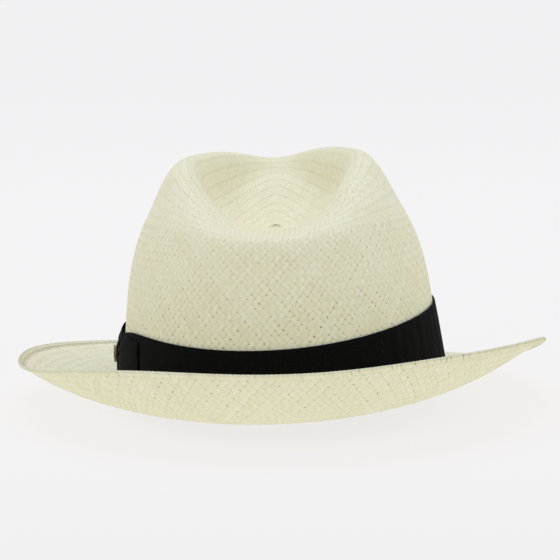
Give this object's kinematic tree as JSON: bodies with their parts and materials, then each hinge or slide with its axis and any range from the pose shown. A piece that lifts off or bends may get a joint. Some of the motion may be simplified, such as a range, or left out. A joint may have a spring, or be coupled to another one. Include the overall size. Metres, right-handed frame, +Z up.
{
  "type": "panama hat",
  "caption": "Woven straw hat with a teardrop crown crease, a turned-up back brim, a black ribbon band with a side bow and pin badge, and a sewn-in leather sweatband.",
  "frame": {"origin": "middle of the bottom of the hat's box, on the surface that the hat rests on", "axes": "+Z up from the table, +Y towards the back of the hat, +X towards the wearer's left, where the bow is"},
  "size_m": [0.2862, 0.312, 0.1371],
  "materials": {
    "straw": "bleached toquilla straw, plain diagonal weave, matt",
    "ribbon": "black grosgrain ribbon, fine upright ribs, matt",
    "thread": "straw-coloured sewing thread",
    "black_thread": "black sewing thread",
    "badge": "aged brass, satin",
    "sweatband": "thin tan leather, satin",
    "reed": "satin",
    "label": "plain woven tape, blank"
  },
  "bodies": {
    "root": {"straw_body": "straw", "brim_edge_stitching": "thread", "hatband": "ribbon", "hatband_tack_right_rear_upper": "black_thread", "hatband_tack_right_rear_lower": "black_thread", "hatband_tack_left_front_upper": "black_thread", "hatband_tack_left_front_lower": "black_thread", "bow_rear_wing": "ribbon", "bow_front_wing": "ribbon", "bow_knot": "ribbon", "badge_plate": "badge", "badge_post": "badge", "badge_clutch": "badge", "sweatband": "sweatband", "sweatband_reed": "reed", "sweatband_stitching": "black_thread", "sweatband_joint_tape": "sweatband", "sweatband_bow_left": "ribbon", "sweatband_bow_right": "ribbon", "sweatband_bow_knot": "ribbon", "size_label": "label"}
  },
  "joints": []
}
